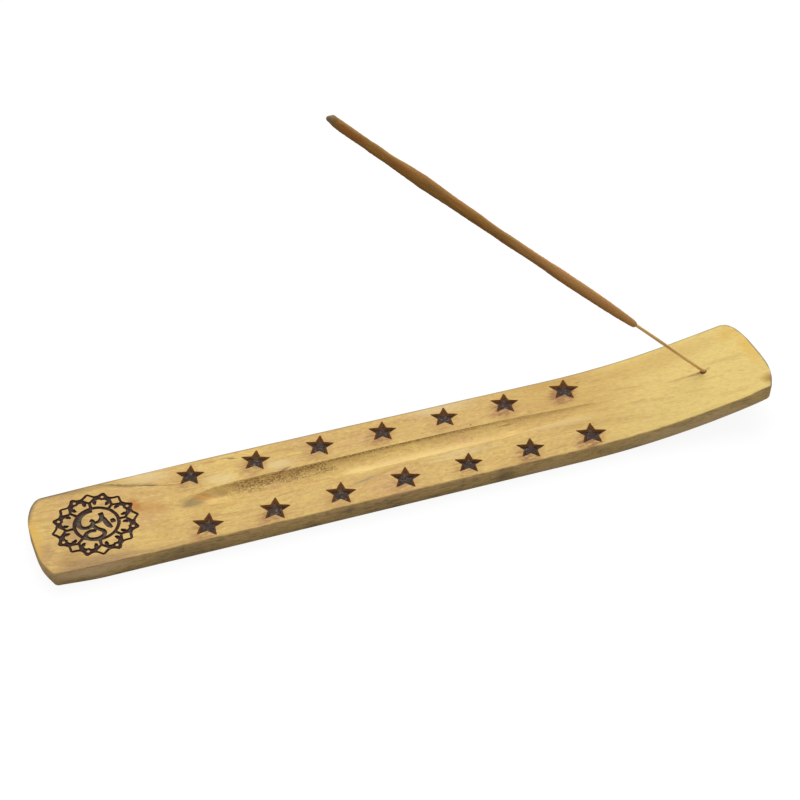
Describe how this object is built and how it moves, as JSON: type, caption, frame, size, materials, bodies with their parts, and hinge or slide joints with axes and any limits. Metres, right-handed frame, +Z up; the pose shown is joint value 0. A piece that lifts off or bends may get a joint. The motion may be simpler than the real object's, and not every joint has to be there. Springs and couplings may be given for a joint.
{
  "type": "incense stick holder",
  "caption": "Flat wooden incense holder with an upturned end, a scooped ash groove, sunk stars and a round petal ornament, and an incense stick leaning out of a slanted hole.",
  "frame": {"origin": "on the table, under the middle of the board", "axes": "+X along the board from the ornament end to the upturned end that holds the stick, +Y across the board, +Z up"},
  "size_m": [0.2548, 0.0364, 0.1415],
  "materials": {
    "board_wood": "pale yellow-tan sanded hardwood with a thin worn coat, dark brown burnt stars and ornament",
    "bamboo": "bare split bamboo, matt, with lengthwise fibres",
    "incense_paste": "rough brown powder paste, matt"
  },
  "bodies": {
    "board": {"holder_board": "board_wood"},
    "incense_stick": {"stick_core": "bamboo", "incense_coat": "incense_paste"}
  },
  "joints": [
    {"name": "stick_pull", "type": "slide", "parent": "board", "child": "incense_stick", "axis": [-0.7193, 0, 0.6947], "range_m": [0, 0.03]}
  ]
}
